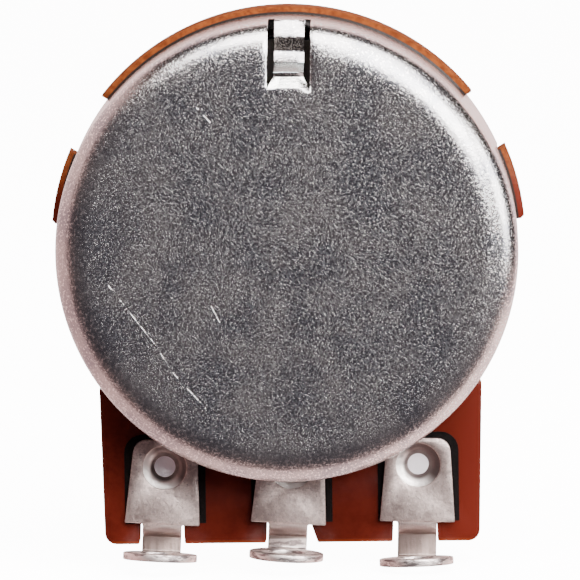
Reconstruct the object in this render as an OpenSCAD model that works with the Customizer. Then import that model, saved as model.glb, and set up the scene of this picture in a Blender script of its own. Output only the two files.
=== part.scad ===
// Panel potentiometer with a 24 mm can, three solder lugs and a split knurled shaft.
// Frame: the shaft turns about Y and points to +Y, the solder lugs hang towards -Z, and the
// origin lies on the shaft's axis, in the face that meets the panel. All sizes are in mm.
// Each piece is drawn as it is seen from behind: X to the right, Y up, and Z rearwards from
// the panel face. from_behind() then stands it in the frame above.

/* [Can] */
// Outer diameter of the can
can_d = 24; // [23:0.5:28]
// Height of the can, from its rim to its rear face
can_h = 5.6; // [5.4:0.1:8]
// Thickness of the can's sheet
can_t = 0.5; // [0.4:0.05:0.6]
// Outer radius of the bend between the wall and the rear face
can_bend_r = 1.15; // [0.8:0.05:1.5]
// Height of the cut in the rim that clears the terminals
rim_relief_h = 1.1; // [0.9:0.1:1.4]
// Half the width of the cut in the rim
rim_relief_x = 9; // [8.8:0.1:9.4]

/* [Ears] */
// Width of each ear that folds over the front plate
ear_w = 3.1; // [2.4:0.1:3.4]
// Length of an ear's folded end, from the can's outside inwards
ear_fold = 2.1; // [1.4:0.1:2.2]
// Angle of the upper ears from straight up
ear_upper_a = 58.7; // [50:0.1:65]
// Angle of the lower ears from straight up
ear_lower_a = 114; // [105:0.5:116]
// Gap between an ear and the notch that it passes through
ear_gap = 0.1; // [0.05:0.05:0.2]

/* [Stop bridge] */
// Width of the strip that is pressed into the can as the end stop
strip_w = 1.55; // [1.2:0.05:2]
// Width of the slit at each side of the strip
slit_w = 0.33; // [0.2:0.05:0.5]
// Depth of the strip's floor below the rear face
strip_drop = 2.05; // [1.8:0.05:2.1]
// Depth at which the slits begin on the wall
slit_wall_depth = 2.3; // [2.2:0.05:2.6]
// Length of the slits on the rear face, inwards from the can's edge
slit_l = 3.35; // [3.1:0.05:3.6]
// Turn of the bridge from straight up, clockwise from behind
bridge_a = 1.4; // [0:0.1:3]

/* [Front plate] */
// Thickness of the plate's sheet
plate_t = 0.8; // [0.6:0.1:1]
// How far the flat pad that meets the panel stays inside the can's edge
pad_inset = 3.4; // [3.2:0.1:4.5]
// How far the folded ears stay behind the panel face
ear_recess = 0.1; // [0.05:0.05:0.3]

/* [Wafer] */
// Thickness of the wafer
wafer_t = 1.6; // [1.2:0.1:2]
// How far the wafer's round edge stands out past the can
wafer_lip = 0.4; // [0.2:0.1:0.6]
// Angle from straight up at which the wafer's side lips end
lip_end_a = 84.7; // [80:0.1:90]
// Distance from a side rivet to the tail's edge
tail_margin = 3.38; // [3:0.1:4]
// Distance from the rivets down to the tail's lower edge
tail_drop = 4.1; // [3.6:0.1:4.4]
// Narrowing of the tail at each side, from its top to its lower edge
tail_taper = 0.2; // [0:0.05:0.4]
// Radius of the tail's lower corners
tail_corner_r = 0.6; // [0.3:0.1:1]
// Thickness of the printed track, thicker than real ink
print_t = 0.06; // [0.04:0.01:0.1]
// Width of the collector ring
ring_w = 1.5; // [1.2:0.1:1.6]
// Gap between the collector ring and the track
track_gap = 1; // [0.9:0.05:1.3]
// How far the track stays inside the can's wall
track_inset = 1.6; // [1.3:0.1:1.8]

/* [Terminals] */
// Distance between neighbouring terminals
terminal_pitch = 6.64; // [6:0.1:6.8]
// Thickness of the terminals' sheet
terminal_t = 0.38; // [0.3:0.02:0.45]
// How far inside the can's edge the rivets stand
rivet_inset = 0.25; // [0:0.05:0.3]
// Width of a terminal's stem
stem_w = 2.03; // [1.6:0.05:2.1]
// How far a stem steps forward into its notch
stem_step = 0.75; // [0.5:0.05:0.9]
// Distance from the rivets down to the middle of a solder lug's sheet
lug_drop = 4.6; // [4.5:0.05:5]
// Outer diameter of a solder lug
lug_d = 3.88; // [3.4:0.1:4.2]
// Diameter of a solder lug's hole
lug_hole_d = 2; // [1.6:0.1:2.2]
// Radius of the rivet's blind hole
barrel_bore_r = 0.57; // [0.45:0.01:0.6]
// Radius of the dish that leads into the rivet's hole
dish_r = 1.1; // [0.9:0.05:1.3]

/* [Bushing and shaft] */
// Wall of the bushing, from its bore to the crests of its thread
bushing_wall = 1.5575; // [1.4:0.05:1.8]
// Length of the bushing in front of the panel face
bushing_l = 9.525; // [6:0.5:12]
// Diameter of the shaft in the bushing
shaft_d = 6.35; // [6:0.05:6.4]
// Length of the shaft in front of the panel face
shaft_l = 19.05; // [18:0.5:25]
// Radial clearance of the shaft in the bushing
shaft_gap = 0.03; // [0.01:0.01:0.1]
// How far the knurl's teeth stay below the shaft's surface
knurl_step = 0.205; // [0.1:0.005:0.3]
// Number of teeth round the knurl
knurl_teeth = 24; // [18:1:36]
// Depth of the knurl's grooves
knurl_depth = 0.3; // [0.2:0.05:0.4]
// Length of the knurl
knurl_l = 7.2; // [5:0.1:8]
// Width of the slot that splits the shaft's end
slot_w = 1; // [0.8:0.1:1.4]
// Turn of the shaft between its stops
turn_a = 300; // [260:5:310]

/* [Rotor] */
// Thickness of the rotor's disc
rotor_t = 1.4; // [1:0.1:1.5]
// Thickness of the contact spring
spring_t = 0.25; // [0.15:0.05:0.3]
// Number of contact fingers on the track
track_fingers = 5; // [3:1:6]
// Number of contact fingers on the collector ring
ring_fingers = 3; // [2:1:4]
// Width of a contact finger
finger_w = 0.48; // [0.3:0.02:0.5]
// Gap between contact fingers
finger_gap = 0.16; // [0.1:0.02:0.2]
// Gap at which a finger's tip floats over what it wipes
wipe_gap = 0.08; // [0.05:0.01:0.12]

/* [Hidden] */
$fn = 96;
slack = 1;            // how far cutters reach past what they cut
bend_steps = 6;       // flats that make up one bend of a sheet

// Levels along the axis, measured rearwards from the panel face
pad_h = can_t + ear_recess;
rim_back = pad_h + plate_t;
wafer_front = rim_back;
wafer_rear = wafer_front + wafer_t;
print_rear = wafer_rear + print_t;
collector_t = 0.2;
collector_rear = print_rear + collector_t;
can_rear = wafer_rear + can_h;
can_inside = can_rear - can_t;

can_r = can_d / 2;
can_inner_r = can_r - can_t;
shaft_r = shaft_d / 2;
bore_r = shaft_r + shaft_gap;
bushing_r = bore_r + bushing_wall;
ear_angles = [-ear_lower_a, -ear_upper_a, ear_upper_a, ear_lower_a];
ear_notch_r = sqrt(pow(can_inner_r, 2) - pow(ear_w / 2, 2)) - ear_gap;

// The pressed strip, as radii from the axis
slit_end_r = can_r - slit_l;
strip_crease_r = slit_end_r + 0.6;
strip_crease_depth = 1;
strip_floor_in_r = strip_crease_r + 1;
strip_root = 0.3;         // how far the strip runs down inside the wall, below its roll
strip_bends = [can_t, can_t / 2 + 0.02, can_t / 2 + 0.02, can_t / 2 + 0.02];
window_w = strip_w + 2 * slit_w;

// The front plate
plate_r = can_r - 0.1;
pad_r = can_r - pad_inset;
pad_slope = 0.6;
pad_back_shift = 0.2;     // how far the pad's rear edge stands inside its front edge
seat_depth = 0.2;         // depth of the plate's cone that the bushing's shoulder sits in
seat_gap = 0.02;
spigot_r = bushing_r - 0.55;
spigot_lip_r = bushing_r + 0.15;
spigot_lip_t = 0.4;
bushing_chamfer = 0.5;

// The wafer and what is printed on it
wafer_r = can_r + wafer_lip;
wafer_hole_r = bushing_r - 0.15;
side_r = can_r - 0.1;
rivet_y = -(can_r - rivet_inset);
tail_half = terminal_pitch + tail_margin;
tail_top_y = -sqrt(pow(wafer_r, 2) - pow(tail_half, 2));
tail_bottom_y = rivet_y - tail_drop;
tail_top_corner_r = 0.4;
tail_overlap = 1.2;       // how far the tail's outline runs along the disc before it turns in
notch_half = stem_w / 2 + 0.12;
notch_flare = 0.05;
notch_shift = -0.2;       // how far the three notches stand to the left of the rivets
notch_top_y = rivet_y - 2.95;
centre_chamfer = 0.35;    // extra width of the centre stem's mouth, at its right
ring_in_r = wafer_hole_r + 0.3;
ring_out_r = ring_in_r + ring_w;
track_in_r = ring_out_r + track_gap;
track_out_r = can_inner_r - track_inset;
track_end_a = 150;
lead_half = 0.9;
print_margin = 0.1;       // how far the centre print shows round the collector
pad_half = 2.12;
pad_top = 1.7;
pad_corner_r = 0.95;
arm_low = 1;              // height of the arm's lower edge over the rivet
arm_in = 1.6;             // reach of that edge from the rivet towards the middle
arm_out = 1.2;            // reach of that edge from the rivet outwards
arm_lap_a = 6;            // angle that the arm overlaps the track by

// The terminals
plate_half_low = 1.97;
plate_half_high = 1.64;
plate_low = 3;
plate_high = 1.43;
plate_corner_r = 0.75;
barrel_r = barrel_bore_r + 0.28;
barrel_gap = 0.05;
dish_depth = 0.36;
barrel_depth = 0.3;       // depth of the rivet's blind hole below its terminal's plate
rivet_head_r = barrel_r + 0.4;
rivet_head_t = 0.3;
rivet_head_edge = 0.15;   // taper of the head's outside
rivet_room = 0.35;        // gap between the centre rivet's head and the front plate's cut
tongue_margin = 0.25;     // how far the collector's tongue shows round the dish
stem_bend_r = 0.3;
stem_root = 0.6;          // how far the stem's strip runs up into the plate
joggle_high = 0.28;       // where the step forward begins, below the plate
joggle_low = 0.6;        // and where it ends
lug_foot = 0.1;           // straight stretch between the lug's bend and its own sheet
lug_r = lug_d / 2;
weld = 0.01;              // overlap that joins two shapes of one piece

// How each terminal sits: its lean about the rivet, how much longer its stem is, the roll of
// its lug about the stem's foot and the lug's pitch upwards at its rear end
left_set = [3.4, 0.15, 0, 5.5];
centre_set = [3.8, 0, 0, 2.5];
right_set = [1.5, 0.5, 3, 5];

// The shaft and the rotor that it carries
knurl_r = shaft_r - knurl_step;
knurl_start = -shaft_l + knurl_l;
tooth_top = 0.3;          // share of a tooth's pitch at which its flat top ends
tooth_foot = 0.65;        // and at which its flank meets the groove
tip_chamfer = 0.5;
neck_l = 0.8;
neck_r = knurl_r - knurl_depth - 0.1;
slot_rest = 0.2;          // length of the knurl that the slot leaves whole
clip_t = 0.5;
clip_front = plate_t + spigot_lip_t + 0.06;
clip_r = wafer_hole_r - 0.4;
groove_r = shaft_r - 0.55;
clip_mouth = 0.2;         // how far the clip's mouth is narrower than the groove
fit_gap = 0.04;           // gap of a part that is pushed onto the shaft or a post
rotor_seat_gap = 0.25;    // gap between the shaft's shoulder and the rotor
spring_front = collector_rear + 0.45;
rotor_front = spring_front + spring_t;
rotor_rear = rotor_front + rotor_t;
rotor_r = can_inner_r - 0.6;
hub_r = ring_in_r - 0.4;
hub_lip = 0.2;
hub_rear = rotor_rear + 0.8;
tenon_r = shaft_r - 0.7;
tenon_flat = tenon_r - 0.6;
head_r = tenon_r + 0.5;
head_t = 0.5;
pivot_r = 1.2;
pivot_gap = 0.2;
stop_in_r = strip_floor_in_r - 0.35;
stop_rear = can_inside - 0.7;
stop_root = 0.5;          // how deep the stop and the posts start inside the disc
stop_gap_a = 0.4;     // play between the stop and the strip at each end of the turn
stop_half_a = (360 - turn_a) / 2 - asin(strip_w / 2 / stop_in_r) - stop_gap_a;
spring_low = ring_out_r - 0.1;
spring_high = track_in_r + 0.05;
spring_half = (track_fingers * (finger_w + finger_gap) - finger_gap) / 2;
finger_root = 0.1;        // how far a finger's strip runs into the spring's base
finger_toe = [0.35, 0.25]; // reach and lift of a finger's turned-up end
finger_bend_r = spring_t / 2 + 0.05;
post_r = 0.35;
post_head_r = post_r + 0.2;
post_head_t = 0.2;
post_x = spring_half - 0.75;

// Paths and outlines

function unit(v) = v / norm(v);
function across(v) = [-v[1], v[0]];

// The arc of radius r that rounds the corner b between a and c
function corner_arc(a, b, c, r) =
    let (u = unit(a - b), v = unit(c - b), half = acos(u * v) / 2,
         centre = b + unit(u + v) * r / sin(half),
         first = b + u * r / tan(half) - centre,
         last = b + v * r / tan(half) - centre,
         start = atan2(first[1], first[0]),
         sweep = (atan2(last[1], last[0]) - start + 540) % 360 - 180)
    [for (k = [0 : bend_steps]) let (t = start + sweep * k / bend_steps)
        centre + r * [cos(t), sin(t)]];

// An open path through the corners p. The inner ones are rounded to radius r, or each to its own
// radius where r is a list.
function bent_path(p, r) = concat([p[0]],
    [for (i = [1 : len(p) - 2])
        each corner_arc(p[i - 1], p[i], p[i + 1], is_list(r) ? r[i - 1] : r)],
    [p[len(p) - 1]]);

// A closed outline through the corners p, with one radius for each corner and 0 for a sharp one
function rounded_outline(p, radii) = [for (i = [0 : len(p) - 1])
    each radii[i] > 0
        ? corner_arc(p[(i + len(p) - 1) % len(p)], p[i], p[(i + 1) % len(p)], radii[i])
        : [p[i]]];

// The direction of path p at its point i, halfway between the flats that meet there
function heading(p, i) = unit((i > 0 ? unit(p[i] - p[i - 1]) : [0, 0])
    + (i < len(p) - 1 ? unit(p[i + 1] - p[i]) : [0, 0]));

// A sheet of thickness t, seen on edge, whose middle follows path p
function sheet_edge(p, t) = concat(
    [for (i = [0 : len(p) - 1]) p[i] + across(heading(p, i)) * t / 2],
    [for (i = [len(p) - 1 : -1 : 0]) p[i] - across(heading(p, i)) * t / 2]);

module from_behind() rotate([90, 0, 0]) children();

// Turns what is drawn straight up to the angle a, clockwise from behind
module at_angle(a) rotate([0, 0, -a]) children();

// Lays a profile drawn in radius and height across the line straight up, w wide
module across_width(w) rotate([90, 0, 90]) linear_extrude(w, center = true) children();

module disc(r, low, high) translate([0, 0, low]) cylinder(h = high - low, r = r);

module block(low, high) translate(low) cube(high - low);

// A wedge with its edge on the axis, from angle a1 to a2 clockwise from straight up
module wedge(a1, a2, r, low, high) translate([0, 0, low]) linear_extrude(high - low)
    polygon(concat([[0, 0]],
        [for (k = [0 : 4]) let (a = a1 + (a2 - a1) * k / 4) 2 * r * [sin(a), cos(a)]]));

// Can

module can_section(r, h, bend_r) {
    square([r - bend_r, h]);
    square([r, h - bend_r]);
    translate([r - bend_r, h - bend_r]) circle(bend_r);
}

module can_shell() translate([0, 0, wafer_rear]) rotate_extrude() difference() {
    can_section(can_r, can_h, can_bend_r);
    can_section(can_inner_r, can_h - can_t, can_bend_r - can_t);
}

// The rim carried forward and folded over the front plate, before it is cut into ears
module folded_rim() difference() {
    rotate_extrude() translate([0, pad_h - can_t]) {
        fold_r = can_t;
        intersection() {
            translate([can_r - fold_r, fold_r]) circle(fold_r);
            translate([can_r - fold_r, 0]) square(fold_r);
        }
        translate([can_r - can_t, fold_r]) square([can_t, wafer_rear + slack - pad_h]);
        translate([can_r - ear_fold, 0]) square([ear_fold - fold_r, can_t]);
    }
    disc(can_r + slack, wafer_rear + 0.2, wafer_rear + 3 * slack);
}

module ears() intersection() {
    folded_rim();
    for (a = ear_angles) at_angle(a)
        block([-ear_w / 2, can_inner_r / 2, -slack], [ear_w / 2, can_r + slack, can_rear]);
}

module bridge_strip() intersection() {
    across_width(window_w) translate([0, can_rear]) polygon(sheet_edge(bent_path([
        [can_r - can_t / 2, -strip_drop - 3 * can_t / 2 - strip_root],
        [can_r - can_t / 2, -strip_drop - can_t / 2],
        [strip_floor_in_r, -strip_drop - can_t / 2],
        [strip_crease_r, -strip_crease_depth - can_t / 2],
        [slit_end_r + can_t / 4, -can_t / 2],
        [slit_end_r - can_t, -can_t / 2]], strip_bends), can_t));
    translate([0, 0, wafer_rear]) linear_extrude(can_h) polygon([
        [-strip_w / 2, can_r - can_t / 5], [strip_w / 2, can_r - can_t / 5],
        [strip_w / 2, strip_crease_r], [window_w / 2, slit_end_r], [window_w / 2, 0],
        [-window_w / 2, 0], [-window_w / 2, slit_end_r], [-strip_w / 2, strip_crease_r]]);
}

module rear_can() color([0.74, 0.73, 0.73]) from_behind() {
    difference() {
        can_shell();
        at_angle(bridge_a) block([-window_w / 2, slit_end_r, can_rear - slit_wall_depth],
                                 [window_w / 2, can_r + slack, can_rear + slack]);
        block([-rim_relief_x, -can_r - slack, wafer_rear - slack],
              [rim_relief_x, -can_r / 2, wafer_rear + rim_relief_h]);
    }
    at_angle(bridge_a) bridge_strip();
    ears();
}

// Front plate and bushing

module ear_notches(low, high) for (a = ear_angles) at_angle(a)
    block([-ear_w / 2 - ear_gap, ear_notch_r, low], [ear_w / 2 + ear_gap, can_r + 2 * slack, high]);

module front_plate() color([0.72, 0.72, 0.72]) from_behind() difference() {
    rotate_extrude() polygon([[bushing_r + seat_gap, 0], [pad_r, 0], [pad_r + pad_slope, pad_h],
        [plate_r, pad_h], [plate_r, pad_h + plate_t],
        [pad_r + pad_slope - pad_back_shift, pad_h + plate_t],
        [pad_r - pad_back_shift, plate_t], [spigot_r, plate_t], [spigot_r, seat_depth]]);
    ear_notches(-slack, rim_back + slack);
    block([-can_r, -can_r - slack, -slack],
          [can_r, rivet_y + rivet_head_r + rivet_room, rim_back + slack]);
}

module bushing() color([0.80, 0.66, 0.36]) from_behind() difference() {
    union() {
        translate([0, 0, -bushing_l]) cylinder(h = bushing_chamfer,
            r1 = bushing_r - bushing_chamfer, r2 = bushing_r);
        disc(bushing_r, bushing_chamfer - bushing_l, 0);
        cylinder(h = seat_depth, r1 = bushing_r, r2 = spigot_r);
        disc(spigot_r, -slack, plate_t + spigot_lip_t);
        disc(spigot_lip_r, plate_t, plate_t + spigot_lip_t);
    }
    disc(bore_r, -bushing_l - slack, rim_back + slack);
}

// Wafer and prints

// The mouth in the tail's lower edge that a stem passes through
module stem_mouth(extra_right) {
    low = tail_bottom_y - slack;
    widen = notch_flare * (notch_top_y - low) / (notch_top_y - tail_bottom_y);
    widen_right = widen + extra_right * (notch_top_y - low) / (notch_top_y - tail_bottom_y);
    translate([0, 0, wafer_front - slack]) linear_extrude(wafer_t + 2 * slack) polygon([
        [-notch_half - widen, low], [notch_half + widen_right, low],
        [notch_half, notch_top_y], [-notch_half, notch_top_y]]);
}

module tail() translate([0, 0, wafer_front]) linear_extrude(wafer_t) polygon(rounded_outline([
    [-tail_half + tail_taper, tail_bottom_y], [tail_half - tail_taper, tail_bottom_y],
    [tail_half, tail_top_y], [tail_half - tail_overlap, tail_top_y],
    [0, 0], [-tail_half + tail_overlap, tail_top_y], [-tail_half, tail_top_y]],
    [tail_corner_r, tail_corner_r, tail_top_corner_r, 0, 0, 0, tail_top_corner_r]));

module wafer() color([0.42, 0.11, 0.04]) from_behind() difference() {
    union() {
        difference() {
            disc(wafer_r, wafer_front, wafer_rear);
            for (side = [-1, 1]) difference() {
                wedge(side * lip_end_a, side * 150, wafer_r, wafer_front - slack, wafer_rear + slack);
                disc(side_r, wafer_front - 2 * slack, wafer_rear + 2 * slack);
            }
            ear_notches(wafer_front - slack, wafer_rear + slack);
        }
        tail();
    }
    disc(wafer_hole_r, wafer_front - slack, wafer_rear + slack);
    for (i = [-1 : 1]) translate([i * terminal_pitch, 0, 0]) {
        rivet_hole(wafer_front - slack, wafer_rear + slack);
        translate([notch_shift, 0, 0]) stem_mouth(i == 0 ? centre_chamfer : 0);
    }
}

// The black print round a terminal
module terminal_print() translate([0, rivet_y, wafer_rear]) linear_extrude(print_t)
    polygon(rounded_outline([[-pad_half, -plate_low], [pad_half, -plate_low],
        [pad_half, pad_top], [-pad_half, pad_top]], [0, 0, pad_corner_r, pad_corner_r]));

module rivet_hole(low, high) translate([0, rivet_y, 0]) disc(barrel_r + barrel_gap, low, high);

module carbon_track() color([0.06, 0.06, 0.07]) from_behind() {
    mid_r = (track_in_r + track_out_r) / 2;
    lap_a = track_end_a - arm_lap_a;
    difference() {
        disc(track_out_r, wafer_rear, print_rear);
        disc(track_in_r, wafer_rear - slack, print_rear + slack);
        wedge(track_end_a, 360 - track_end_a, can_r, wafer_rear - slack, print_rear + slack);
    }
    for (side = [-1, 1]) difference() {
        union() {
            translate([side * terminal_pitch, 0, 0]) terminal_print();
            translate([0, 0, wafer_rear]) linear_extrude(print_t) polygon([
                side * [terminal_pitch - arm_in, 0] + [0, rivet_y + arm_low],
                side * [terminal_pitch + arm_out, 0] + [0, rivet_y + arm_low],
                track_out_r * [side * sin(lap_a), cos(lap_a)],
                mid_r * [side * sin(lap_a), cos(lap_a)],
                (track_in_r + arm_in / 8) * [side * sin(track_end_a - 1), cos(track_end_a - 1)]]);
        }
        translate([side * terminal_pitch, 0, 0]) rivet_hole(wafer_rear - slack, print_rear + slack);
    }
}

module centre_print() color([0.08, 0.08, 0.09]) from_behind() difference() {
    union() {
        disc(ring_out_r + print_margin, wafer_rear, print_rear);
        block([-lead_half - 2 * print_margin, rivet_y, wafer_rear],
              [lead_half + 2 * print_margin, -ring_in_r, print_rear]);
        terminal_print();
    }
    disc(ring_in_r - print_margin, wafer_rear - slack, print_rear + slack);
    rivet_hole(wafer_rear - slack, print_rear + slack);
}

module collector_ring() color([0.78, 0.76, 0.70]) from_behind() difference() {
    union() {
        disc(ring_out_r, print_rear, collector_rear);
        block([-lead_half, rivet_y, print_rear], [lead_half, -ring_in_r, collector_rear]);
        translate([0, rivet_y, 0]) disc(dish_r + tongue_margin, print_rear, collector_rear);
    }
    disc(ring_in_r, print_rear - slack, collector_rear + slack);
    rivet_hole(print_rear - slack, collector_rear + slack);
}

// Terminals

// One terminal on its rivet, set as above. seat is the level that its plate lies on.
module terminal(set, seat) {
    middle = seat + terminal_t / 2;
    stem_z = middle - stem_step;
    lug_y = -lug_drop - set[1];
    lug_z = lug_r + stem_bend_r / 2;
    lug_turn = [-set[3], 0, set[2]];
    translate([0, rivet_y, 0]) difference() {
        at_angle(set[0]) union() {
            translate([0, 0, seat]) linear_extrude(terminal_t) polygon(rounded_outline([
                [-plate_half_low, -plate_low], [plate_half_low, -plate_low],
                [plate_half_high, plate_high], [-plate_half_high, plate_high]],
                [0, 0, plate_corner_r, plate_corner_r]));
            across_width(stem_w) polygon(sheet_edge(bent_path([
                [-plate_low + stem_root, middle], [-plate_low - joggle_high, middle],
                [-plate_low - joggle_low, stem_z], [lug_y, stem_z],
                [lug_y, stem_z + stem_bend_r + lug_foot]], stem_bend_r), terminal_t));
            translate([0, lug_y, stem_z]) rotate(lug_turn) {
                translate([-stem_w / 2, -terminal_t / 2, stem_bend_r])
                    cube([stem_w, terminal_t, lug_z - stem_bend_r]);
                translate([0, 0, lug_z]) rotate([90, 0, 0])
                    cylinder(h = terminal_t, r = lug_r, center = true);
            }
        }
        at_angle(set[0]) translate([0, lug_y, stem_z]) rotate(lug_turn)
            translate([0, 0, lug_z]) rotate([90, 0, 0])
                cylinder(h = lug_d, r = lug_hole_d / 2, center = true);
        disc(barrel_bore_r, wafer_front - slack, seat + slack);
        translate([0, 0, seat + terminal_t - dish_depth])
            cylinder(h = dish_depth + weld, r1 = barrel_bore_r, r2 = dish_r);
    }
    translate([0, rivet_y, 0]) difference() {
        union() {
            disc(barrel_r, wafer_front, seat + weld);
            translate([0, 0, wafer_front - rivet_head_t])
                cylinder(h = rivet_head_t, r1 = rivet_head_r - rivet_head_edge, r2 = rivet_head_r);
        }
        disc(barrel_bore_r, seat - barrel_depth, seat + slack);
    }
}

module terminal_left() color([0.74, 0.71, 0.68]) from_behind()
    translate([-terminal_pitch, 0, 0]) terminal(left_set, print_rear);

module terminal_centre() color([0.74, 0.71, 0.68]) from_behind()
    terminal(centre_set, collector_rear);

module terminal_right() color([0.74, 0.71, 0.68]) from_behind()
    translate([terminal_pitch, 0, 0]) terminal(right_set, print_rear);

// Shaft and retaining ring

module knurl_outline() polygon([for (k = [0 : knurl_teeth - 1],
                                     step = [[0, 0], [tooth_top, 0], [tooth_foot, 1]])
    let (a = (k + step[0]) * 360 / knurl_teeth, r = knurl_r - step[1] * knurl_depth)
    r * [cos(a), sin(a)]]);

module shaft() color([0.82, 0.68, 0.38]) from_behind() difference() {
    union() {
        disc(shaft_r, knurl_start + neck_l, clip_front);
        disc(groove_r, clip_front - slack, clip_front + clip_t + slack);
        disc(shaft_r, clip_front + clip_t + fit_gap, rotor_front - rotor_seat_gap);
        disc(neck_r, knurl_start - slack, knurl_start + neck_l + slack);
        intersection() {
            translate([0, 0, -shaft_l]) linear_extrude(knurl_l) knurl_outline();
            translate([0, 0, -shaft_l]) union() {
                cylinder(h = tip_chamfer + slack, r1 = knurl_r - tip_chamfer,
                         r2 = knurl_r + slack);
                translate([0, 0, tip_chamfer + slack]) cylinder(h = knurl_l, r = knurl_r + slack);
            }
        }
        intersection() {
            disc(tenon_r, rotor_front - slack, hub_rear + head_t);
            block([-tenon_r, -tenon_flat, rotor_front - 2 * slack],
                  [tenon_r, tenon_flat, can_inside]);
        }
        disc(head_r, hub_rear, hub_rear + head_t);
        disc(pivot_r, hub_rear, can_inside - pivot_gap);
    }
    block([-slot_w / 2, -shaft_r - slack, -shaft_l - slack],
          [slot_w / 2, shaft_r + slack, knurl_start - slot_rest]);
}

module retaining_ring() color([0.55, 0.55, 0.57]) from_behind() difference() {
    disc(clip_r, clip_front + fit_gap / 2, clip_front + clip_t);
    disc(groove_r + fit_gap, 0, wafer_rear);
    block([clip_mouth - groove_r, 0, 0], [groove_r - clip_mouth, clip_r + slack, wafer_rear]);
}

// Rotor and contact spring

module posts(r, low, high) for (side = [-1, 1])
    translate([side * post_x, (spring_low + spring_high) / 2, 0]) disc(r, low, high);

module rotor() color([0.16, 0.13, 0.11]) from_behind() at_angle(bridge_a) {
    difference() {
        union() {
            disc(rotor_r, rotor_front, rotor_rear);
            disc(hub_r, rotor_front - hub_lip, hub_rear);
            intersection() {
                difference() {
                    disc(rotor_r, rotor_rear - stop_root, stop_rear);
                    disc(stop_in_r, rotor_rear - slack, stop_rear + slack);
                }
                wedge(180 - stop_half_a, 180 + stop_half_a, can_r, rotor_front, can_rear);
            }
        }
        at_angle(-bridge_a) intersection() {
            disc(tenon_r + fit_gap, 0, can_rear);
            block([-can_r, -tenon_flat - fit_gap, 0], [can_r, tenon_flat + fit_gap, can_rear]);
        }
    }
    posts(post_r, spring_front - post_head_t, rotor_rear - stop_root);
    posts(post_head_r, spring_front - post_head_t, spring_front);
}

// A comb of contact fingers: each leaves the spring's base at radius from_r, slopes forward to
// the level tip, touches down at radius to_r and turns up again
module fingers(count, from_r, to_r, tip) {
    base = spring_front + spring_t / 2;
    out = sign(to_r - from_r);
    pitch = finger_w + finger_gap;
    for (i = [0 : count - 1]) translate([(i - (count - 1) / 2) * pitch, 0, 0])
        across_width(finger_w) polygon(sheet_edge(bent_path([
            [from_r - out * finger_root, base], [from_r + out * finger_root, base],
            [to_r, tip + spring_t / 2],
            [to_r + out * finger_toe[0], tip + spring_t / 2 + finger_toe[1]]],
            finger_bend_r), spring_t));
}

module contact_spring() color([0.80, 0.62, 0.42]) from_behind() at_angle(bridge_a) {
    difference() {
        block([-spring_half, spring_low, spring_front], [spring_half, spring_high, rotor_front]);
        posts(post_r + fit_gap, spring_front - slack, rotor_front + slack);
    }
    fingers(track_fingers, spring_high, (track_in_r + track_out_r) / 2, print_rear + wipe_gap);
    fingers(ring_fingers, spring_low, (ring_in_r + ring_out_r) / 2, collector_rear + wipe_gap);
}

rear_can();
front_plate();
bushing();
wafer();
carbon_track();
centre_print();
collector_ring();
terminal_left();
terminal_centre();
terminal_right();
shaft();
retaining_ring();
rotor();
contact_spring();
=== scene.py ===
"""Looks of a 24 mm panel potentiometer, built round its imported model.

Shapes are drawn in millimetres, as the part is seen from behind: X to the right, Y up and Z
rearwards from the panel face. FROM_BEHIND then stands them in the frame, in metres.
"""
import math

import bmesh
import bpy
from mathutils import Matrix, Quaternion, Vector


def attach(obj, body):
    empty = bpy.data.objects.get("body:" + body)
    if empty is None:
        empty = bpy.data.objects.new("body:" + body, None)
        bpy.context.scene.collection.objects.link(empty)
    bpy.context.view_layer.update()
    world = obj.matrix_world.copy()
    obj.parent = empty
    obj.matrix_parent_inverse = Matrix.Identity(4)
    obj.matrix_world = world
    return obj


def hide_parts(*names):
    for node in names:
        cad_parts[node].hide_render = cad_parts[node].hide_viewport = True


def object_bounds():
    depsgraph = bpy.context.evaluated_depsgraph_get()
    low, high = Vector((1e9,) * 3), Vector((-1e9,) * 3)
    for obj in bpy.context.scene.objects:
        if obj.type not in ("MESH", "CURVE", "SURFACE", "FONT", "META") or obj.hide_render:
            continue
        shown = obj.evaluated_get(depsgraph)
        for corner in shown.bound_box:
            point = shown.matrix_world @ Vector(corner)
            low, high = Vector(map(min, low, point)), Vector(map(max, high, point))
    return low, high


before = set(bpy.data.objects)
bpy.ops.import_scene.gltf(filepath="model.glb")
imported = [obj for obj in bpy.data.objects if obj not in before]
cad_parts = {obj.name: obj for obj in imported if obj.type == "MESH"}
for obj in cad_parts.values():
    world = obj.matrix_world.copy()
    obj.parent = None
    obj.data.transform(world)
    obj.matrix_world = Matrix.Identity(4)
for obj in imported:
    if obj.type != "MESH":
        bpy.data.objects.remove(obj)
cad_low, cad_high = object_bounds()

MM = 0.001
FROM_BEHIND = Matrix.Scale(MM, 4) @ Matrix.Rotation(math.pi / 2, 4, "X")
SMOOTH_ANGLE = math.radians(32)
WELD = 1e-4             # points that lie closer than this are joined

# Levels along the axis, measured rearwards from the panel face
PAD_H = 0.6
WAFER_FRONT = 1.4
WAFER_REAR = 3.0
PRINT_REAR = 3.06
COLLECTOR_REAR = 3.26
CAN_REAR = 8.6

# Can
CAN_R = 12.0
CAN_T = 0.5
WALL_END = 7.45         # level at which the wall starts to bend
BEND_REACH = 1.8        # width of the soft bend, measured on the rear face
EAR_W = 3.1
EAR_FOLD = 2.1          # how far an ear reaches inwards over the front plate
EAR_ANGLES = (-114.0, -58.7, 58.7, 114.0)
RIM_RELIEF_H = 1.1      # height and half width of the rim's cut that clears the terminals
RIM_RELIEF_X = 9.0

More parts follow.
